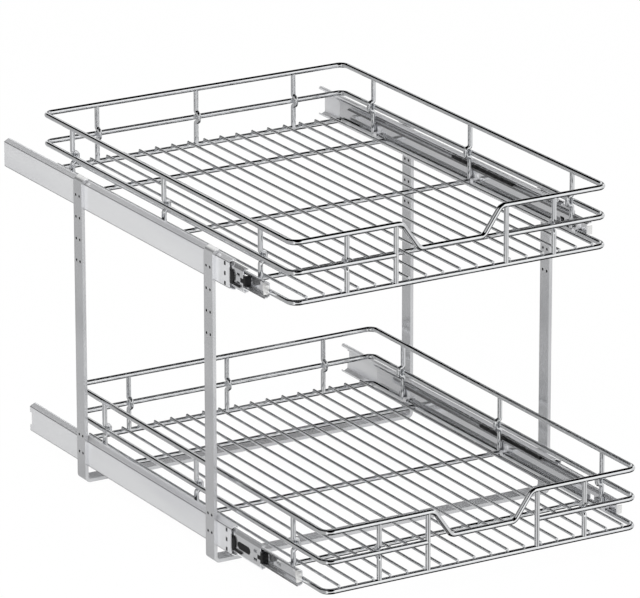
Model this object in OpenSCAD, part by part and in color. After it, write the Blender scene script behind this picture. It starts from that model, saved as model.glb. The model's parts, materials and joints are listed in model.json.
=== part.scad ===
// Two-tier pull-out cabinet basket.
// Two U-shaped brackets stand on the cabinet floor and carry four full-extension ball slides.
// Each pair of slides carries one welded wire basket.
// Origin: middle of the four floor screw holes, on the underside of the brackets.
// +Z is up, -Y is the side that the baskets are pulled out to.

/* [Brackets] */
// Distance between the front bracket and the rear bracket, centre to centre
bracket_pitch = 290; // [240:1:330]
// Width of the flat bar that the brackets are bent from
bar_w = 18.4; // [16:0.1:24]
// Thickness of the flat bar
bar_t = 4; // [3:0.1:5]
// Bend radius at the bottom corners, inside
bar_bend_r = 2.5; // [2:0.1:6]
// Distance from each post's inner face to its floor screw hole
floor_hole_in = 38.75; // [20:0.25:90]
// Diameter of the floor screw holes
floor_hole_d = 5; // [3.5:0.1:6]
// Distance between the two holes of a pair in a post
pair_pitch = 8; // [7:0.1:10]
// Diameter of the holes in the posts
post_hole_d = 3.2; // [2.5:0.1:3.6]
// Height between the rows of holes below the upper slide
upper_row_pitch = 25; // [22:1:32]
// Number of rows of holes at the upper slide, its own row included
upper_rows = 4; // [2:1:6]
// Height of the spare row above the lower slide
lower_row_pitch = 20; // [20:1:32]

/* [Tiers] */
// Height of the lower slide's middle line above the floor
low_slide_z = 33.7; // [30:0.1:60]
// Height between the lower and the upper slide
tier_pitch = 298.3; // [180:0.1:400]
// Length of the upper slides
upper_slide_len = 508; // [420:1:560]
// Length of the lower slides
lower_slide_len = 457; // [400:1:560]
// Distance from the slides' front ends to the middle of the front bracket
bracket_setback = 38; // [30:1:80]
// How far the upper basket is pulled out at rest
upper_out = 63.5; // [0:0.5:300]
// How far the lower basket is pulled out at rest
lower_out = 129.6; // [0:0.1:300]

/* [Slides] */
// Height of the flat outer face of the outer member
slide_face_h = 28.4; // [28.2:0.1:29]
// Thickness of a slide from outer face to inner face
slide_t = 12.7; // [12.6:0.1:13.2]
// Thickness of the steel strip of each member
strip_t = 1; // [0.9:0.05:1.1]
// Bend radius between the outer member's face and its bevel, to the middle of the strip
rail_bend_r = 1.2; // [0.8:0.1:1.8]
// Diameter of the balls
ball_d = 2.6; // [2.4:0.1:2.7]
// Clearance between a ball and its raceway
race_gap = 0.3; // [0.2:0.05:0.35]
// Number of balls in a row
ball_count = 10; // [4:1:11]
// Distance between the balls of a row
ball_pitch = 12.5; // [8:0.5:13]
// Thickness of the ball cages
cage_t = 0.5; // [0.4:0.05:0.6]
// How far the middle member stops short of the outer member's ends
middle_short = 6.5; // [5:0.5:14]
// How far the inner member stops short of the outer member's rear end
inner_short = 6; // [4:0.5:10]
// Clearance between a cage and the end of its travel
cage_end_gap = 4; // [3.5:0.5:8]
// Length of the black buffer in the middle member's web
buffer_len = 27; // [15:1:40]
// Height of the black buffer in the middle member's web
buffer_h = 8.4; // [5:0.1:10]

/* [Baskets] */
// Width of a basket between the middles of its side wires
basket_w = 386; // [300:1:460]
// Depth of a basket between the middles of its front and rear wires
basket_d = 546; // [480:1:580]
// Height from the bottom ring to the middle rim
mid_rim_h = 32.7; // [28:0.1:40]
// Height from the bottom ring to the top rim
top_rim_h = 65.7; // [60:0.1:120]
// Diameter of the rim and ring wires
rim_d = 6; // [5:0.1:7]
// Diameter of the upright and cross wires
post_d = 5.5; // [4:0.1:6]
// Diameter of the floor wires
floor_d = 3.2; // [2.5:0.1:4]
// Radius of the corners, to the middle of the wire
corner_r = 10; // [8:0.5:20]
// Number of floor wires
floor_count = 18; // [10:1:20]
// Distance from the side wire to the first floor wire
floor_side_gap = 16.6; // [12:0.1:24]
// Number of cross wires
cross_count = 3; // [2:1:4]
// Distance from the front wire to the first cross wire
cross_front_gap = 90; // [50:1:110]
// Distance from the last cross wire to the rear wire
cross_rear_gap = 96; // [50:1:110]
// Distance between the side uprights
side_post_pitch = 206.7; // [150:0.1:230]
// Distance of the inner front uprights from the middle
front_post_in = 67.9; // [66:0.1:90]
// Distance of the outer front uprights from the middle
front_post_out = 127.6; // [110:0.1:160]
// Distance of the outer rear uprights from the middle
rear_post_out = 126.5; // [80:0.1:160]
// Half width of the handle dip at the top
dip_top = 61; // [56:0.5:63]
// Half width of the handle dip at the bottom
dip_low = 39.5; // [30:0.5:42]
// Height of the handle dip's bottom above the bottom ring
dip_h = 35.2; // [34:0.1:50]
// Bend radius of the handle dip, to the middle of the wire
dip_r = 9; // [6:0.5:12]
// Height of the slides' middle line above the bottom ring
ring_drop = 4.3; // [2:0.1:6]
// How far the basket stands ahead of the inner member
basket_lead = 41.5; // [15:0.5:60]
// How deep a weld sinks one wire into the next
weld = 0.02; // [0.01:0.005:0.03]
// Angle of the slanted parts of a crimp, where an upright passes behind the middle rim
crimp_slant = 66; // [50:1:68]

/* [Hidden] */
TIERS = ["upper", "lower"];
SIDES = ["left", "right"];

$fn = 48;
chrome = [0.78, 0.79, 0.81];
zinc = [0.74, 0.75, 0.78];
bar_grey = [0.66, 0.67, 0.69];
black = [0.06, 0.06, 0.06];
pale = [0.9, 0.9, 0.88];

// where things lie
rail_front_y = -bracket_pitch / 2 - bracket_setback;
side_gap = 0.05;
slide_x = basket_w / 2 + rim_d / 2 + side_gap + slide_t;
post_x = slide_x + bar_t / 2;
cut = 1;

function slide_z(tier) = tier == "upper" ? low_slide_z + tier_pitch : low_slide_z;
function slide_len(tier) = tier == "upper" ? upper_slide_len : lower_slide_len;
function out(tier) = tier == "upper" ? upper_out : lower_out;
function basket_y(tier) = rail_front_y - basket_lead - out(tier);
function ring_z(tier) = slide_z(tier) - ring_drop;

// ---------- strip profiles: a list of points is the middle line, the strip has an even thickness ----------
function arc(c, r, from, to, n) =
    [for (i = [0:n]) let (a = from + (to - from) * i / n) c + r * [cos(a), sin(a)]];
function reversed(p) = [for (i = [len(p) - 1:-1:0]) p[i]];
function flipped(p) = [for (q = p) [q[0], -q[1]]];
function unit(v) = v / norm(v);
function left_of(v) = [-v[1], v[0]];
function along(p, i) = unit(p[min(i + 1, len(p) - 1)] - p[min(i, len(p) - 2)]);
function miter(p, i) =
    let (a = left_of(along(p, max(i - 1, 0))), b = left_of(along(p, i)), m = unit(a + b)) m / (m * a);
function strip(p, t) = concat(
    [for (i = [0:len(p) - 1]) p[i] + miter(p, i) * t / 2],
    [for (i = [len(p) - 1:-1:0]) p[i] - miter(p, i) * t / 2]);
function both_ways(half) = concat(reversed(flipped(half)), half);

// bends of a strip: each corner of a coarse line becomes an arc
function bend(a, b, c, r) =
    let (u = unit(b - a), v = unit(c - b), turn = asin(u[0] * v[1] - u[1] * v[0]), s = sign(turn),
        t = r * tan(abs(turn) / 2), centre = b - u * t + s * left_of(u) * r,
        start = atan2((b - u * t - centre)[1], (b - u * t - centre)[0]))
    arc(centre, r, start, start + turn, 8);

// ---------- slide section, seen from the front: u runs from the outer face to the basket, v is up ----------
race_r = ball_d / 2 + race_gap + strip_t / 2;
web_u = strip_t / 2;
outer_ball = [6.4, slide_face_h / 2 + 0.55];
inner_ball = [8.0, outer_ball[1] - 4.4];
middle_web_u = 3;
inner_web_u = slide_t - strip_t / 2;
shoulder = [web_u, slide_face_h / 2];
reach = outer_ball - shoulder;
bevel = atan2(reach[1], reach[0]) + asin(race_r / norm(reach));
outer_lip = arc(outer_ball, race_r, 90 + bevel, -10, 10);
outer_half = concat(bend([web_u, 0], shoulder, outer_lip[0], rail_bend_r), outer_lip);
middle_half = concat([[middle_web_u, outer_ball[1] - 4.45]], arc(outer_ball, race_r, 230, 270, 5),
    arc(inner_ball, race_r, 90, 60, 4));
inner_half = concat([[inner_web_u, inner_ball[1] - 3.35]], arc(inner_ball, race_r, 300, 210, 8));
outer_cage_half = [outer_ball + [-4.65, -1.75], outer_ball + [-3, -0.6], outer_ball + [-2.2, -0.2],
    outer_ball + [ball_d / 2, -0.2]];
inner_cage_half = [inner_ball + [-3.55, -0.75], inner_ball + [-2.8, 0], inner_ball + [2.4, 0]];
// the inner cage ends in an upright edge that shows from the basket's side
inner_cage_edge = [inner_ball + [2.4, -1.45], inner_ball + [2.4, 2]];

// a strip section swept along the slide from y_from over length l, on the left side
module swept(section, y_from, l) {
    translate([-slide_x, y_from + l, 0]) rotate([90, 0, 0]) linear_extrude(l) polygon(section);
}
// puts a left-hand piece of a slide in its place
module at_side(tier, side) {
    translate([0, 0, slide_z(tier)]) mirror([side == "right" ? 1 : 0, 0, 0]) children();
}
function span(centre, l) = [centre - l / 2, centre + l / 2];
// a block on the left side, from its limits across, along and up the slide
module block(u, y, v) {
    translate([-slide_x + u[0], y[0], v[0]]) cube([u[1] - u[0], y[1] - y[0], v[1] - v[0]]);
}
// a round hole or pin across the web, on the left side
module across(y, v, d, u_from, u_to) {
    translate([-slide_x + u_from, y, v]) rotate([0, 90, 0]) cylinder(d = d, h = u_to - u_from);
}

screw_d = post_hole_d - 0.1;
screw_head_d = screw_d + 2;
screw_grip = 2.2;
function post_ys() = [-bracket_pitch / 2, bracket_pitch / 2];
function pair_ys() = [for (y = post_ys(), s = [-1, 1]) y + s * pair_pitch / 2];

// ---------- outer member ----------
web_cut = [-cut, strip_t + cut];
tab_slot = [3.6, 4.4];
tab_slot_y = 9;
tab_slot_pitch = 11;
rear_notch = [4, 15];
module outer_rail(tier, side) {
    rear_y = rail_front_y + slide_len(tier);
    color(zinc) at_side(tier, side) difference() {
        swept(strip(both_ways(outer_half), strip_t), rail_front_y, slide_len(tier));
        for (y = pair_ys())
            translate([-slide_x, y, 0]) rotate([0, 90, 0])
                cylinder(d1 = screw_d + 0.1, d2 = screw_head_d + 0.1, h = strip_t);
        for (k = [-1:1])
            block(web_cut, span(rail_front_y + tab_slot_y, tab_slot[0]),
                span(k * tab_slot_pitch, tab_slot[1]));
        if (tier == "lower")
            block(web_cut, [rear_y - rear_notch[0], rear_y + cut], span(0, rear_notch[1]));
    }
}

// countersunk screws that hold the outer members to the posts, set back in the post holes
module rail_screws() {
    color(zinc) for (tier = TIERS, side = SIDES) at_side(tier, side) for (y = pair_ys()) {
        across(y, 0, screw_d, -screw_grip, 0);
        translate([-slide_x, y, 0]) rotate([0, 90, 0]) cylinder(d1 = screw_d, d2 = screw_head_d, h = strip_t);
    }
}

// black stop at the outer member's front end: a round-fronted plate and a tongue that keeps grease off
bumper_gap = 0.3;
bumper_u = [strip_t, middle_web_u - strip_t / 2 - bumper_gap];
bumper_round = 9;
bumper_centre = 1;
bumper_h = 15;
bumper_in = cage_end_gap - 1.5;
bumper_notch = [2, 3];
bumper_tongue = [20, 2.5];
module outer_bumper(tier, side) {
    centre_y = rail_front_y + bumper_centre;
    notch_y = centre_y - bumper_round / 3;
    color(black) at_side(tier, side) {
        difference() {
            intersection() {
                across(centre_y, 0, 2 * bumper_round, bumper_u[0], bumper_u[1]);
                block(bumper_u, [centre_y - bumper_round, rail_front_y + bumper_in], span(0, bumper_h));
            }
            block([0, middle_web_u], span(notch_y, bumper_notch[0]),
                [bumper_h / 2 - bumper_notch[1], bumper_h]);
        }
        block(bumper_u, [rail_front_y - bumper_tongue[0], rail_front_y + bumper_in],
            [-bumper_h / 2 - 1, bumper_tongue[1] - bumper_h / 2 - 1]);
    }
}

// ---------- middle member ----------
function middle_len(tier) = slide_len(tier) - 2 * middle_short;
function middle_y(tier) = rail_front_y + middle_short - out(tier) / 2;
middle_web = span(middle_web_u, strip_t);
middle_cut = span(middle_web_u, strip_t + cut);
buffer_y = 21;
tongue = [6, 5];
window = [7, 3];
window_at = [10.5, 4.7];
module oval(y, l, h, u) {
    for (s = [-1, 1]) across(y + s * (l - h) / 2, 0, h, u[0], u[1]);
    block(u, span(y, l - h), span(0, h));
}
module middle_rail(tier, side) {
    y = middle_y(tier);
    color(zinc) at_side(tier, side) difference() {
        swept(strip(both_ways(middle_half), strip_t), y, middle_len(tier));
        oval(y + buffer_y + buffer_len / 2, buffer_len, buffer_h, middle_cut);
        block(middle_cut, [y - cut, y + tongue[0]], span(0, tongue[1]));
        for (s = [-1, 1])
            block(middle_cut, span(y + window_at[0], window[0]), span(s * window_at[1], window[1]));
    }
}
// black buffer in the web and ribbed black stop on the front end, which meets the inner member's end
fit = 0.05;
end_t = 1;
stop_gap = 0.5;
stop_out = middle_short - end_t - stop_gap;
stop_u = [middle_web[0], 9.6];
stop_h = 10.5;
rib_cut = 0.8;
module middle_bumper(tier, side) {
    y = middle_y(tier);
    color(black) at_side(tier, side) {
        oval(y + buffer_y + buffer_len / 2, buffer_len - 2 * fit, buffer_h - 2 * fit, middle_web);
        block(middle_web, [y - stop_out, y + tongue[0] - fit], span(0, tongue[1] - 2 * fit));
        difference() {
            block(stop_u, [y - stop_out, y - fit], span(0, stop_h));
            for (k = [1:2])
                block([stop_u[1] - rib_cut, stop_u[1] + cut], span(y - stop_out * k / 3, rib_cut),
                    span(0, 2 * stop_h));
        }
    }
}

// ---------- inner member ----------
function inner_len(tier) = slide_len(tier) - inner_short;
function inner_y(tier) = rail_front_y - out(tier);
inner_web = span(inner_web_u, strip_t);
inner_window = [8, 6];
inner_window_y = 48;
rivet_d = 2.6;
rivet_gap = 0.2;
rivet_head = [4, 0.5];
rivet_v = 3.3;
module inner_rail(tier, side) {
    y = inner_y(tier);
    color(zinc) at_side(tier, side) difference() {
        swept(strip(both_ways(inner_half), strip_t), y, inner_len(tier));
        block([inner_web[0] - cut, inner_web[1] + cut], span(y + inner_window_y, inner_window[0]),
            span(0, inner_window[1]));
        for (c = clip_ys(tier))
            across(c, rivet_v, rivet_d + rivet_gap, inner_web[0] - cut, inner_web[1] + cut);
    }
}
// pale end plate that closes the inner member's front end, with a foot on the web
end_h = 9.5;
end_u = 5.4;
end_foot = [12, 0.8];
module inner_tip(tier, side) {
    y = inner_y(tier);
    color(pale) at_side(tier, side) {
        block([end_u, inner_web[0]], [y, y + end_t], span(0, end_h));
        block([inner_web[0] - end_foot[1], inner_web[0]], [y, y + end_foot[0]], span(0, end_h));
    }
}

// ---------- ball cages and balls ----------
// a cage runs at the mean of the two members' travel and stays inside both at full travel
cage_len = ball_count * ball_pitch;
function outer_cage_y(tier) = rail_front_y + slide_len(tier) / 4 + cage_end_gap - out(tier) / 4;
function inner_cage_y(tier) =
    rail_front_y + slide_len(tier) / 4 + middle_short + cage_end_gap - out(tier) * 3 / 4;
function ball_ys(y) = [for (i = [0:ball_count - 1]) y + ball_pitch * (i + 0.5)];
pocket_d = ball_d + 0.4;
pocket_w = 2.2;
module pockets(centre, y) {
    for (b = ball_ys(y), s = [-1, 1]) translate([-slide_x + centre[0], b, s * centre[1]])
        cylinder(d = pocket_d, h = 2, center = true, $fn = 32);
}
module outer_cage(tier, side) {
    y = outer_cage_y(tier);
    color(black) at_side(tier, side) difference() {
        swept(strip(both_ways(outer_cage_half), cage_t), y, cage_len);
        pockets(outer_ball, y);
    }
}
// the pockets of the inner cage run on into round windows in its upright edges
module inner_cage(tier, side) {
    y = inner_cage_y(tier);
    edge_u = inner_cage_edge[0][0];
    color(black) at_side(tier, side) difference() {
        union() {
            swept(strip(both_ways(inner_cage_half), cage_t), y, cage_len);
            for (edge = [inner_cage_edge, flipped(inner_cage_edge)]) swept(strip(edge, cage_t), y, cage_len);
        }
        pockets(inner_ball, y);
        for (b = ball_ys(y), s = [-1, 1]) {
            block([inner_ball[0], edge_u - cage_t / 2], span(b, pocket_w),
                span(s * inner_ball[1], 2 * cage_t));
            across(b, s * inner_ball[1], pocket_w, edge_u - cage_t, edge_u + cage_t, $fn = 24);
        }
    }
}
module balls(centre, y) {
    for (b = ball_ys(y), s = [-1, 1])
        translate([-slide_x + centre[0], b, s * centre[1]]) sphere(d = ball_d, $fn = 24);
}
module outer_balls(tier, side) {
    color(chrome) at_side(tier, side) balls(outer_ball, outer_cage_y(tier));
}
module inner_balls(tier, side) {
    color(chrome) at_side(tier, side) balls(inner_ball, inner_cage_y(tier));
}

// ---------- brackets ----------
// the lip lies close on the bevel and leaves room for the tighter bend of the member's strip
lip_clear = 0.1;
lip_gap = lip_clear
    + max(0, cos(bevel) * (bar_bend_r - rail_bend_r - strip_t / 2) * tan((90 - bevel) / 2));
lip_reach = 4.4;
lip_lift = strip_t / 2 + lip_gap + bar_t / 2;
lip_v = shoulder[1] + lip_lift * cos(bevel) + (lip_lift * sin(bevel) - web_u - bar_t / 2) * tan(bevel);
top_z = low_slide_z + tier_pitch + lip_v;
lip_end = [-slide_x + lip_reach, top_z + (lip_reach + bar_t / 2) * tan(bevel)];
bend_r = bar_bend_r + bar_t / 2;
bracket_half = concat([[0, bar_t / 2]],
    reversed(bend([-post_x, top_z], [-post_x, bar_t / 2], [0, bar_t / 2], bend_r)),
    reversed(bend(lip_end, [-post_x, top_z], [-post_x, bar_t / 2], bend_r)), [lip_end]);
bracket_line = concat(reversed(bracket_half),
    [for (i = [1:len(bracket_half) - 1]) [-bracket_half[i][0], bracket_half[i][1]]]);

module bracket(y) {
    rows = concat([for (k = [0:upper_rows - 1]) slide_z("upper") - k * upper_row_pitch],
        [slide_z("lower"), slide_z("lower") + lower_row_pitch]);
    color(bar_grey) difference() {
        translate([0, y + bar_w / 2, 0]) rotate([90, 0, 0]) linear_extrude(bar_w)
            polygon(strip(bracket_line, bar_t));
        for (z = rows, s = [-1, 1], side = [-1, 1])
            translate([side * post_x, y + s * pair_pitch / 2, z]) rotate([0, 90, 0])
                cylinder(d = post_hole_d, h = bar_t + 2 * cut, center = true);
        for (side = [-1, 1])
            translate([side * (slide_x - floor_hole_in), y, -cut])
                cylinder(d = floor_hole_d, h = bar_t + 2 * cut);
    }
}
module front_bracket() { bracket(-bracket_pitch / 2); }
module rear_bracket() { bracket(bracket_pitch / 2); }

// ---------- bent wire: straight rods and round bends along a line of points ----------
wire_fn = 24;
// a bend is a little thicker than the rods, which run a little way into it
bend_swell = 0.1;
bend_lap = 0.2;
module in_axes(o, x, y, z) {
    multmatrix([[x[0], y[0], z[0], o[0]], [x[1], y[1], z[1], o[1]], [x[2], y[2], z[2], o[2]], [0, 0, 0, 1]])
        children();
}
module rod(a, b, d) {
    w = unit(b - a);
    e = unit(cross(w, abs(w[2]) < 0.9 ? [0, 0, 1] : [1, 0, 0]));
    in_axes(a, e, cross(w, e), w) cylinder(d = d, h = norm(b - a), $fn = wire_fn);
}
module elbow(a, b, c, r, d) {
    u = unit(b - a);
    v = unit(c - b);
    n = unit(cross(u, v));
    e = cross(u, n);
    turn = acos(u * v);
    in_axes(b - u * r * tan(turn / 2) - e * r, e, u, n)
        rotate_extrude(angle = turn, $fn = 2 * wire_fn) translate([r, 0])
            circle(d = d + bend_swell, $fn = wire_fn);
}
// length of a rod that the bend at b takes up, less the lap
function setback(a, b, c, r) = r * tan(acos(unit(b - a) * unit(c - b)) / 2) - bend_lap;
// closed wire: every point is a bend with its own radius
module closed_wire(p, r, d) {
    n = len(p);
    for (i = [0:n - 1]) {
        h = (i + n - 1) % n;
        j = (i + 1) % n;
        k = (i + 2) % n;
        w = unit(p[j] - p[i]);
        rod(p[i] + w * setback(p[h], p[i], p[j], r[i]), p[j] - w * setback(p[i], p[j], p[k], r[j]), d);
        elbow(p[h], p[i], p[j], r[i], d);
    }
}
// open wire: the first and last points are its ends
module open_wire(p, r, d) {
    n = len(p);
    for (i = [0:n - 2]) {
        w = unit(p[i + 1] - p[i]);
        from = i == 0 ? 0 : setback(p[i - 1], p[i], p[i + 1], r);
        to = i == n - 2 ? 0 : setback(p[i], p[i + 1], p[i + 2], r);
        rod(p[i] + w * from, p[i + 1] - w * to, d);
    }
    for (i = [1:n - 2]) elbow(p[i - 1], p[i], p[i + 1], r, d);
}
module in_basket(tier) {
    color(chrome) translate([0, basket_y(tier), ring_z(tier)]) children();
}
half_w = basket_w / 2;

// ---------- baskets ----------
// wires are coped to the round wire that they are welded to and sink into it by the weld
cope_rim_d = rim_d - 2 * weld;
cope_post_d = post_d - 2 * weld;
module top_rim(tier) {
    in_basket(tier) closed_wire(
        [[-dip_top, 0, top_rim_h], [-dip_low, 0, dip_h], [dip_low, 0, dip_h], [dip_top, 0, top_rim_h],
            [half_w, 0, top_rim_h], [half_w, basket_d, top_rim_h], [-half_w, basket_d, top_rim_h],
            [-half_w, 0, top_rim_h]],
        [dip_r, dip_r, dip_r, dip_r, corner_r, corner_r, corner_r, corner_r], rim_d);
}
// the middle rim is open at the front and ends on the inner front uprights
module mid_rim(tier) {
    upright_x = beside(front_post_in);
    end_x = upright_x + post_d / 4;
    in_basket(tier) difference() {
        open_wire(
            [[-end_x, 0, mid_rim_h], [-half_w, 0, mid_rim_h], [-half_w, basket_d, mid_rim_h],
                [half_w, basket_d, mid_rim_h], [half_w, 0, mid_rim_h], [end_x, 0, mid_rim_h]],
            corner_r, rim_d);
        for (s = [-1, 1])
            rod([s * upright_x, 0, mid_rim_h - rim_d], [s * upright_x, 0, mid_rim_h + rim_d], cope_post_d);
    }
}
module bottom_ring(tier) {
    in_basket(tier) closed_wire(
        [[-half_w, 0, 0], [half_w, 0, 0], [half_w, basket_d, 0], [-half_w, basket_d, 0]],
        [corner_r, corner_r, corner_r, corner_r], rim_d);
}

floor_z = (rim_d + floor_d) / 2 - weld;
floor_pitch = (basket_w - 2 * floor_side_gap) / (floor_count - 1);
function floor_x(i) = (i - (floor_count - 1) / 2) * floor_pitch;
module floor_wires(tier) {
    in_basket(tier) for (i = [0:floor_count - 1])
        rod([floor_x(i), 0, floor_z], [floor_x(i), basket_d, floor_z], floor_d);
}
cross_z = floor_z - (floor_d + post_d) / 2 + weld;
cross_pitch = (basket_d - cross_front_gap - cross_rear_gap) / (cross_count - 1);
module cross_wires(tier) {
    end_x = half_w - rim_d / 4;
    in_basket(tier) difference() {
        for (k = [0:cross_count - 1]) {
            y = cross_front_gap + k * cross_pitch;
            rod([-end_x, y, cross_z], [end_x, y, cross_z], post_d);
        }
        for (s = [-1, 1]) rod([s * half_w, 0, 0], [s * half_w, basket_d, 0], cope_rim_d);
    }
}

// an upright stands clear of the floor wires: where one is in its way it moves outwards
post_clear = 0.3;
function beside(x) =
    let (wire = floor_x(round(x / floor_pitch + (floor_count - 1) / 2)),
        least = (post_d + floor_d) / 2 + post_clear)
    abs(x - wire) < least ? wire + (x < 0 ? -least : least) : x;
// cuts an upright to the bottom ring and the top rim, which run along the given way
module coped(way) {
    difference() {
        children();
        for (z = [0, top_rim_h]) rod(concat(-way * post_d, z), concat(way * post_d, z), cope_rim_d);
    }
}
module straight_post() {
    rod([0, 0, 0], [0, 0, top_rim_h], post_d);
}
// an upright that steps inwards, closely round the back of the middle rim
step_in = (rim_d + post_d) / 2 - weld;
step_r = (post_d + bend_swell) / 2 + 0.1;
step_rise = step_in / tan(crimp_slant);
step_flat = step_in * tan(crimp_slant / 2);
module stepped_post(inward) {
    in_low = concat(inward * step_in, mid_rim_h - step_flat);
    in_high = concat(inward * step_in, mid_rim_h + step_flat);
    open_wire([[0, 0, 0], [0, 0, in_low[2] - step_rise], in_low, in_high, [0, 0, in_high[2] + step_rise],
        [0, 0, top_rim_h]], step_r, post_d);
}
function side_post_ys() = [for (k = [-1:1]) basket_d / 2 + k * side_post_pitch];
module side_posts(tier) {
    in_basket(tier) for (y = side_post_ys(), s = [-1, 1])
        translate([s * half_w, y, 0]) coped([0, 1]) stepped_post([-s, 0]);
}
module end_posts(tier) {
    in_basket(tier) {
        for (s = [-1, 1]) {
            translate([s * beside(front_post_out), 0, 0]) coped([1, 0]) stepped_post([0, 1]);
            translate([s * beside(front_post_in), 0, 0]) coped([1, 0]) straight_post();
        }
        for (k = [-1:1])
            translate([beside(k * rear_post_out), basket_d, 0]) coped([1, 0]) stepped_post([0, -1]);
    }
}

// ---------- clips: bent strips riveted to the inner members, hooked over the bottom ring ----------
clip_w = 6;
clip_gap = 0.1;
clip_back = 9.5;
clip_top = 6;
clip_bend_r = 1;
function clip_ys(tier) = [for (y = side_post_ys()) basket_y(tier) + y - clip_back];
module rail_clips(tier) {
    face_u = inner_web[1] + strip_t / 2;
    over_v = rim_d / 2 - ring_drop + clip_gap + strip_t / 2;
    in_u = slide_t + side_gap + rim_d + clip_gap + strip_t / 2;
    line = concat([[face_u, clip_top]],
        bend([face_u, clip_top], [face_u, over_v], [in_u, over_v], clip_bend_r),
        bend([face_u, over_v], [in_u, over_v], [in_u, -ring_drop], clip_bend_r), [[in_u, -ring_drop]]);
    color(zinc) for (side = SIDES) at_side(tier, side) for (y = clip_ys(tier)) {
        swept(strip(line, strip_t), y - clip_w / 2, clip_w);
        across(y, rivet_v, rivet_d, inner_web[0] - rivet_head[1], inner_web[1] + strip_t / 2);
        across(y, rivet_v, rivet_head[0], inner_web[0] - rivet_head[1], inner_web[0]);
        across(y, rivet_v, rivet_head[0], face_u, face_u + strip_t / 2 + rivet_head[1]);
    }
}

front_bracket();
rear_bracket();
rail_screws();
for (tier = TIERS, side = SIDES) {
    name = str(tier, "_", side, "_");
    outer_rail(tier, side);
    outer_bumper(tier, side);
    outer_cage(tier, side);
    outer_balls(tier, side);
    middle_rail(tier, side);
    middle_bumper(tier, side);
    inner_cage(tier, side);
    inner_balls(tier, side);
    inner_rail(tier, side);
    inner_tip(tier, side);
}
for (tier = TIERS) {
    top_rim(tier);
    mid_rim(tier);
    bottom_ring(tier);
    side_posts(tier);
    end_posts(tier);
    cross_wires(tier);
    floor_wires(tier);
    rail_clips(tier);
}
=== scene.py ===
import bmesh
import bpy
import json
import math
from mathutils import Matrix, Vector


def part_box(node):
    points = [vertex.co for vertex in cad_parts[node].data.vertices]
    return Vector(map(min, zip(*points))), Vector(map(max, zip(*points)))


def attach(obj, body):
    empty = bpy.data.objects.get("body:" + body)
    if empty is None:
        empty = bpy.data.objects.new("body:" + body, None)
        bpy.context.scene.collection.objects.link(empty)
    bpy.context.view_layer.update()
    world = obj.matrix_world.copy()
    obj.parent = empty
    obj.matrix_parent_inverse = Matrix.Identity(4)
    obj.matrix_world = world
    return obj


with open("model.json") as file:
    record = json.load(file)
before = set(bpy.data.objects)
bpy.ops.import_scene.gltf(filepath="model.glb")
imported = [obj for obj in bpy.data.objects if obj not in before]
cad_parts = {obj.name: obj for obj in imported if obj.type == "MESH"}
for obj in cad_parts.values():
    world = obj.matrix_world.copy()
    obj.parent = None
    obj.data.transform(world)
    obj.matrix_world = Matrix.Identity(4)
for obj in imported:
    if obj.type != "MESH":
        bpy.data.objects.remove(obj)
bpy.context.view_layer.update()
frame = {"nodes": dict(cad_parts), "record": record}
print("frame loaded:", len(frame["nodes"]), "nodes")

tiers = ("upper", "lower")
sides = ("left", "right")

view = {
    "place": (-3.0621, -5.2166, 2.2299),  # metres, in the part's frame
    "azimuth": -30.479,  # degrees
    "elevation": 18.413,
    "roll": -0.086,
    "focal": 5812.65,  # pixels
    "image": (640, 598),
    "centre": (318.908, 300.547),  # where the optical axis meets the image
    "sensor": 36.0,  # millimetres
    "clip": (0.1, 100),
}


def makeCamera():
    a, e, r = (math.radians(view[k]) for k in ("azimuth", "elevation", "roll"))
    back = Vector((math.sin(a) * math.cos(e), -math.cos(a) * math.cos(e), math.sin(e)))
    level = Vector((math.cos(a), math.sin(a), 0))
    upright = back.cross(level)
    right = level * math.cos(r) + upright * math.sin(r)
    up = upright * math.cos(r) - level * math.sin(r)
    turn = Matrix((right, up, back)).transposed().to_4x4()
    width, height = view["image"]
    lens = bpy.data.cameras.new("camera")
    lens.sensor_fit = "HORIZONTAL"
    lens.sensor_width = view["sensor"]
    lens.lens = view["focal"] / width * view["sensor"]
    lens.shift_x = (width / 2 - view["centre"][0]) / width
    lens.shift_y = (view["centre"][1] - height / 2) / width
    lens.clip_start, lens.clip_end = view["clip"]
    eye = bpy.data.objects.new("camera", lens)
    eye.matrix_world = Matrix.Translation(view["place"]) @ turn
    bpy.context.scene.collection.objects.link(eye)
    bpy.context.scene.camera = eye


makeCamera()
print("camera placed")


# a socket in shader maths: an expression on values adds its Math nodes
class Value:
    def __init__(self, shader, socket):
        self.shader, self.socket = shader, socket

    def maths(self, operation, *others):
        return self.shader.node("Math", {"operation": operation}, dict(enumerate((self, *others))))

    def __add__(self, other): return self.maths("ADD", other)
    def __radd__(self, other): return self.maths("ADD", other)
    def __sub__(self, other): return self.maths("SUBTRACT", other)
    def __mul__(self, other): return self.maths("MULTIPLY", other)
    def __rmul__(self, other): return self.maths("MULTIPLY", other)
    def upTo(self, other): return self.maths("MINIMUM", other)
    def atLeast(self, other): return self.maths("MAXIMUM", other)
    def size(self): return self.maths("ABSOLUTE")

    def __rsub__(self, other):
        return self.shader.node("Math", {"operation": "SUBTRACT"}, {0: other, 1: self})


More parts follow.
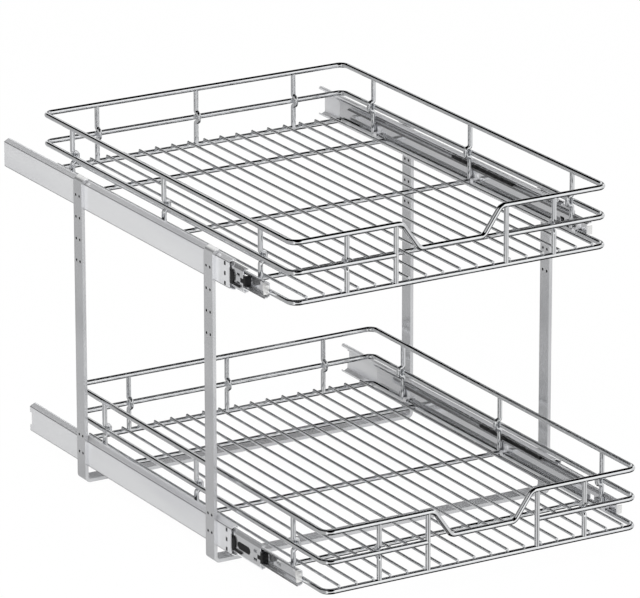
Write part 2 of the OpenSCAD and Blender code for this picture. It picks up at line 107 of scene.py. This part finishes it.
class Shader:
    def __init__(self, owner):
        owner.use_nodes = True
        self.tree = owner.node_tree
        self.tree.nodes.clear()

    # a node by its type, its settings, and the values or links of its sockets
    def node(self, kind, settings=None, sockets=None, out=0):
        made = self.tree.nodes.new("ShaderNode" + kind)
        for name, setting in (settings or {}).items():
            setattr(made, name, setting)
        for name, given in (sockets or {}).items():
            if isinstance(given, Value):
                self.tree.links.new(given.socket, made.inputs[name])
            else:
                made.inputs[name].default_value = given
        return Value(self, made.outputs[out])

    def place(self):
        return self.node("TexCoord", out="Object")

    def axes(self):
        return [self.node("SeparateXYZ", None, {"Vector": self.place()}, out=i) for i in range(3)]

    # noise, stretched by its scale along each axis
    def noise(self, scale, detail=2.0, roughness=0.5):
        stretched = self.node("Mapping", None, {"Vector": self.place(), "Scale": scale})
        return self.node("TexNoise", None, {"Vector": stretched, "Scale": 1.0, "Detail": detail,
                                            "Roughness": roughness}, out="Fac")

    def blend(self, amount, a, b):
        return self.node("Mix", {"data_type": "RGBA"}, {0: amount, 6: a, 7: b}, out=2)

    # 0 at the start, 1 at the end, with a soft turn at both
    def ease(self, value, start, end):
        return self.node("MapRange", {"interpolation_type": "SMOOTHSTEP"},
                         {"Value": value, "From Min": start, "From Max": end})

    # 1 where the value is over the level
    def step(self, value, level):
        return self.node("Math", {"operation": "GREATER_THAN"}, {0: value, 1: level})

    def bump(self, height, strength, distance=0.0001):
        return self.node("Bump", None, {"Height": height, "Strength": strength,
                                        "Distance": distance}, out="Normal")

    def finish(self, surface, kind="Material"):
        end = self.tree.nodes.new("ShaderNodeOutput" + kind)
        self.tree.links.new(surface.socket, end.inputs["Surface"])


def rgb(*parts):
    return (*parts, 1.0)


def newMaterial(name):
    material = bpy.data.materials.new(name)
    return material, Shader(material)


chromeLook = {
    "tint": rgb(0.86, 0.87, 0.88),
    "shade": rgb(0.80, 0.81, 0.83),
    "roughness": (0.02, 0.05),
    "cloud": (60, 60, 60),
    "ripple": (420, 420, 420),
    "relief": 0.004,
    "shadeEdge": (0.42, 0.62),  # levels of the cloud between which the shade sets in
    "hazeEdge": (0.35, 0.7),
}


def chromedWire():
    material, s = newMaterial("chromedWire")
    cloud = s.noise(chromeLook["cloud"], detail=3)
    ripple = s.noise(chromeLook["ripple"])
    low, high = chromeLook["roughness"]
    shaded = s.ease(cloud, *chromeLook["shadeEdge"])
    shine = s.node("BsdfPrincipled", None, {
        "Base Color": s.blend(shaded, chromeLook["tint"], chromeLook["shade"]),
        "Metallic": 1.0,
        "Roughness": s.ease(cloud, *chromeLook["hazeEdge"]) * (high - low) + low,
        "Normal": s.bump(ripple, chromeLook["relief"]),
    })
    s.finish(shine)
    return material


# zinc plated steel: outer members, middle and inner members, brackets, tips and balls
steelNoise = {"shadeEdge": (0.3, 0.75), "grainEdge": (0.3, 0.7), "detail": 3, "roughness": 0.6}
slideLook = {
    "tint": rgb(0.95, 0.955, 0.97), "shade": rgb(0.83, 0.835, 0.86), "metallic": 0.60,
    "roughness": (0.18, 0.22), "grain": (900, 12, 900), "relief": 0.004, "cloud": (5, 3, 26),
    # painted shade: the fold values and the dark colour below paint a dark line along the fold of
    # the outer members
    "foldHeight": 0.0142,  # from the middle of the member to the fold
    "foldWidth": 0.0012, "foldDepth": 0.0012, "paintedShade": rgb(0.10, 0.10, 0.105),
}
memberLook = {
    "tint": rgb(0.90, 0.905, 0.92), "shade": rgb(0.82, 0.825, 0.845), "metallic": 0.86,
    "roughness": (0.10, 0.15), "grain": (900, 12, 900), "relief": 0.01, "cloud": (9, 6, 40),
}
barLook = {
    "tint": rgb(0.76, 0.765, 0.78), "shade": rgb(0.66, 0.665, 0.68), "metallic": 0.80,
    "roughness": (0.20, 0.24), "grain": (900, 900, 14), "relief": 0.004, "cloud": (9, 9, 14),
    # painted shade: the dark colour below is painted on the walls of the post holes
    "thickness": 0.004, "rim": 0.0001, "paintedShade": rgb(0.004, 0.004, 0.004),
    "holeSpan": (0.01, 0.02),  # how far from the foot and from the top the holes may be
    # painted highlight: the pale colour and the values below paint the bent post tops bright
    "paintedHighlight": rgb(0.95, 0.95, 0.95), "paintedHighlightTop": (0.0034, 0.0012), "paintedHighlightMatt": 0.6,
}
tipLook = {
    "tint": rgb(0.95, 0.95, 0.94), "shade": rgb(0.88, 0.88, 0.87), "metallic": 0.60,
    "roughness": (0.16, 0.24), "grain": (700, 20, 700), "relief": 0.02, "cloud": (40, 40, 40),
}
ballLook = {
    "tint": rgb(0.95, 0.95, 0.96), "shade": rgb(0.88, 0.88, 0.90), "metallic": 0.55,
    "roughness": (0.10, 0.16), "grain": (300, 300, 300), "relief": 0.0, "cloud": (300, 300, 300),
}


def rolledSteel(name, look, paintedShade=None, paintedHighlight=None):
    material, s = newMaterial(name)
    grain = s.noise(look["grain"], steelNoise["detail"], steelNoise["roughness"])
    cloud = s.noise(look["cloud"])
    low, high = look["roughness"]
    colour = s.blend(s.ease(cloud, *steelNoise["shadeEdge"]), look["tint"], look["shade"])
    metallic = look["metallic"]
    roughness = s.ease(grain, *steelNoise["grainEdge"]) * (high - low) + low
    # painted highlight: where this mask is set the colour is painted pale and less metallic,
    # standing in for light on the post tops
    if paintedHighlight:
        bright = paintedHighlight(s)
        colour = s.blend(bright, colour, look["paintedHighlight"])
        metallic = (1 - bright * look["paintedHighlightMatt"]) * metallic
    # painted shade: where this mask is set the colour is painted near black, the metal taken away
    # and the surface made rough, standing in for shade
    if paintedShade:
        paintedShadeMask = paintedShade(s)
        colour = s.blend(paintedShadeMask, colour, look["paintedShade"])
        metallic, roughness = (1 - paintedShadeMask) * metallic, roughness.atLeast(paintedShadeMask)
    shine = s.node("BsdfPrincipled", None, {
        "Base Color": colour,
        "Metallic": metallic,
        "Roughness": roughness,
        "Normal": s.bump(grain, look["relief"]),
    })
    s.finish(shine)
    return material


# painted shade: a dark line painted along the sharp fold between the face and the bevel of an
# outer member, where the metal would mirror dark
def outerFoldPaintedShade(s):
    x, _, z = s.axes()
    boxes = [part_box(tier + "_left_outer_rail") for tier in tiers]
    upper, lower = ((z - (low[2] + high[2]) / 2).size() for low, high in boxes)
    fromFold = (upper.upTo(lower) - slideLook["foldHeight"]).size()
    near = 1 - s.ease(fromFold, 0.0, slideLook["foldWidth"])
    face = -boxes[0][0][0]
    return near * s.step(x.size(), face - slideLook["foldDepth"])


# the walls of the holes in the bracket posts, which no light reaches
def postHoles(s):
    low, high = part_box("front_bracket")
    rim, middle, half = barLook["rim"], -(low[1] + high[1]) / 2, (high[1] - low[1]) / 2
    x, y, z = s.axes()
    fromFoot, fromTop = barLook["holeSpan"]
    inner, outer = high[0] - barLook["thickness"] + rim, high[0] - rim
    inPost = s.step(x.size(), inner) * s.step(outer, x.size())
    inWidth = s.step(half - rim, (y.size() - middle).size())
    return inPost * inWidth * s.step(z, fromFoot) * s.step(high[2] - fromTop, z)


# painted highlight: the bent tops of the bracket posts, painted bright and less metallic as they
# look lit
def postTopHighlight(s):
    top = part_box("front_bracket")[1][2]
    start, full = barLook["paintedHighlightTop"]
    return s.ease(s.axes()[2], top - start, top - full)


plasticLook = {
    "tint": rgb(0.002, 0.002, 0.002),
    "shade": rgb(0.006, 0.006, 0.007),
    "roughness": (0.3, 0.45),
    "specular": 0.25,
    "cloud": (120, 120, 120),
    "pebble": (1600, 1600, 1600),
    "relief": 0.2,
}


def blackPlastic():
    material, s = newMaterial("blackPlastic")
    pebble = s.noise(plasticLook["pebble"])
    cloud = s.noise(plasticLook["cloud"])
    low, high = plasticLook["roughness"]
    shine = s.node("BsdfPrincipled", None, {
        "Base Color": s.blend(cloud, plasticLook["tint"], plasticLook["shade"]),
        "Specular IOR Level": plasticLook["specular"],
        "Roughness": cloud * (high - low) + low,
        "Normal": s.bump(pebble, plasticLook["relief"]),
    })
    s.finish(shine)
    return material


finishes = {
    "chrome_wire": chromedWire(),
    "slide_steel": rolledSteel("slideSteel", slideLook, outerFoldPaintedShade),
    "member_steel": rolledSteel("memberSteel", memberLook),
    "bar_steel": rolledSteel("barSteel", barLook, postHoles, postTopHighlight),
    "tip_steel": rolledSteel("tipSteel", tipLook),
    "ball_steel": rolledSteel("ballSteel", ballLook),
    "black_plastic": blackPlastic(),
}


# the middle and inner members are brighter than the outer ones, which share their slot
def dressNodes():
    slotOf = {p["node"]: p["material_slot"] for p in frame["record"]["subparts"]}
    for name, node in frame["nodes"].items():
        node.data.materials.clear()
        bright = name.endswith(("middle_rail", "inner_rail"))
        node.data.materials.append(finishes["member_steel" if bright else slotOf[name]])


dressNodes()
print("finishes assigned")


# a finished shape as a piece on its body
def addPiece(shape, name, body, slot):
    mesh = bpy.data.meshes.new(name)
    shape.to_mesh(mesh)
    shape.free()
    mesh.materials.append(finishes[slot])
    piece = bpy.data.objects.new(name, mesh)
    bpy.context.scene.collection.objects.link(piece)
    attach(piece, body)


# lugs of the black stops, pressed into the slots at the front of each outer member
lugs = {
    "count": 3,
    "pitch": 0.011,
    "size": (0.0034, 0.0042),  # along the member, upright
    "thickness": 0.0009,
    "fromFront": 0.009,
    "corner": 0.0008,
    "segments": 4,
    "sunk": 0.0001,
}


def makeLugs(tier, side):
    low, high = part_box(f"{tier}_{side}_outer_rail")
    out = -1 if side == "left" else 1
    face = (low[0] if side == "left" else high[0]) - out * lugs["sunk"]
    x, y = face - out * lugs["thickness"] / 2, low[1] + lugs["fromFront"]
    middle = (low[2] + high[2]) / 2
    shape = bmesh.new()
    for i in range(lugs["count"]):
        lug = bmesh.ops.create_cube(shape, size=1)["verts"]
        bmesh.ops.scale(shape, verts=lug, vec=(lugs["thickness"], *lugs["size"]))
        height = middle + (i - (lugs["count"] - 1) / 2) * lugs["pitch"]
        bmesh.ops.translate(shape, verts=lug, vec=(x, y, height))
    corners = [edge for edge in shape.edges
               if abs(edge.verts[0].co.x - edge.verts[1].co.x) > lugs["thickness"] / 2]
    bmesh.ops.bevel(shape, geom=corners, offset=lugs["corner"], segments=lugs["segments"],
                    affect="EDGES", profile=0.5)
    addPiece(shape, f"{tier}_{side}_bumper_lugs", "frame", "black_plastic")


for tier in tiers:
    for side in sides:
        makeLugs(tier, side)
print("bumper lugs made")

# weld beads where the floor wires cross the wires under them
beads = {
    "floorWires": 18,
    "floorWire": 0.0032,  # diameters
    "crossWires": 3,
    "crossWire": 0.0055,
    "ringWire": 0.006,
    "size": (0.0015, 0.0020, 0.0007),  # half the length along each axis
    "subdivisions": 2,
}


def makeBeads(tier):
    floorLow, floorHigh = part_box(tier + "_floor_wires")
    crossLow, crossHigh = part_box(tier + "_cross_wires")
    ringLow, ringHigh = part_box(tier + "_bottom_ring")
    half, last = beads["crossWire"] / 2, beads["crossWires"] - 1
    gap = (crossHigh[1] - crossLow[1] - 2 * half) / last
    under = [crossLow[1] + half + gap * i for i in range(beads["crossWires"])]
    under += [ringLow[1] + beads["ringWire"] / 2, ringHigh[1] - beads["ringWire"] / 2]
    first = floorLow[0] + beads["floorWire"] / 2
    pitch = (floorHigh[0] - floorLow[0] - beads["floorWire"]) / (beads["floorWires"] - 1)
    shape = bmesh.new()
    for y in under:
        for i in range(beads["floorWires"]):
            bead = bmesh.ops.create_icosphere(shape, subdivisions=beads["subdivisions"],
                                              radius=1)["verts"]
            bmesh.ops.scale(shape, verts=bead, vec=beads["size"])
            bmesh.ops.translate(shape, verts=bead, vec=(first + pitch * i, y, floorLow[2]))
    for face in shape.faces:
        face.smooth = True
    addPiece(shape, tier + "_weld_beads", tier + "_basket", "chrome_wire")


for tier in tiers:
    makeBeads(tier)
print("weld beads made")

studio = {
    "floorSize": 30.0,
    "floorColour": rgb(0.9, 0.9, 0.9),
    "floorGlow": 0.985,  # share of the floor's whiteness that no shadow takes away
    "white": rgb(1, 1, 1),
    "plainLight": 0.8,  # what falls on matt surfaces from all round
    "darkParts": [  # way, cosines at which the part fades in and is full, darkness
        ((0.1, 0.1, 0.99), 0.61, 0.63, 1.0),
        ((0.35, 0.0, -0.94), 0.70, 0.77, 1.0),
        ((-0.25, 0.6, 0.76), 0.84, 0.87, 1.0),
        ((0.62, 0.72, 0.31), 0.960, 0.970, 0.75),
        ((-0.86, 0.51, 0.0), 0.20, 0.50, 0.58),
        ((0.97, -0.10, -0.25), 0.62, 0.85, 0.30),
        ((-0.15, -0.80, 0.58), 0.86, 0.89, 1.0),
        ((-0.10, -0.75, -0.66), 0.88, 0.92, 0.9),
        ((0.48, -0.82, -0.32), 0.975, 0.992, 0.3),
    ],
    "keyLamp": {"place": (-2.2, -2.6, 3.2), "aim": (0, 0, 0.2), "size": 2.0, "power": 120},
}


# a white studio with dark parts all round, which only the metal mirrors, so that it has edges
def makeWorld():
    world = bpy.data.worlds.new("studio")
    bpy.context.scene.world = world
    s = Shader(world)
    towards = s.node("TexCoord", out="Generated")
    light = 1.0
    for way, start, full, dark in studio["darkParts"]:
        near = s.node("VectorMath", {"operation": "DOT_PRODUCT"},
                      {0: towards, 1: tuple(Vector(way).normalized())}, out="Value")
        light = (1.0 - s.ease(near, start, full) * dark) * light
    isCamera = s.node("LightPath", out="Is Camera Ray")
    isGlossy = s.node("LightPath", out="Is Glossy Ray")
    plain = studio["plainLight"]
    level = isCamera * (1.0 - plain) + isGlossy * (light - plain) + plain
    s.finish(s.node("Background", None, {"Color": studio["white"], "Strength": level}), "World")


# the floor keeps the shadow; the metal shows the studio through it
def makeFloor():
    half = studio["floorSize"] / 2
    mesh = bpy.data.meshes.new("floor")
    corners = [(-half, -half, 0), (half, -half, 0), (half, half, 0), (-half, half, 0)]
    mesh.from_pydata(corners, [], [(0, 1, 2, 3)])
    floor = bpy.data.objects.new("floor", mesh)
    bpy.context.scene.collection.objects.link(floor)
    material, s = newMaterial("paleFloor")
    matt = s.node("BsdfDiffuse", None, {"Color": studio["floorColour"]})
    white = s.node("Emission", None, {"Color": studio["white"], "Strength": 1.0})
    clear = s.node("BsdfTransparent")
    isCamera = s.node("LightPath", out="Is Camera Ray")
    isGlossy = s.node("LightPath", out="Is Glossy Ray")
    seen = s.node("MixShader", None, {0: isCamera * studio["floorGlow"], 1: matt, 2: white})
    s.finish(s.node("MixShader", None, {0: isGlossy, 1: seen, 2: clear}))
    mesh.materials.append(material)


# a lamp that the metal doesn't mirror
def makeLamp(name, place, aim, size, power):
    data = bpy.data.lights.new(name, "AREA")
    data.size, data.energy = size, power
    lamp = bpy.data.objects.new(name, data)
    lamp.visible_glossy = False
    lamp.location = place
    lamp.rotation_euler = (Vector(aim) - Vector(place)).to_track_quat("-Z", "Y").to_euler()
    bpy.context.scene.collection.objects.link(lamp)


makeWorld()
makeFloor()
makeLamp("keyLamp", **studio["keyLamp"])
bpy.context.scene.view_settings.view_transform = "Standard"
print("studio lit")
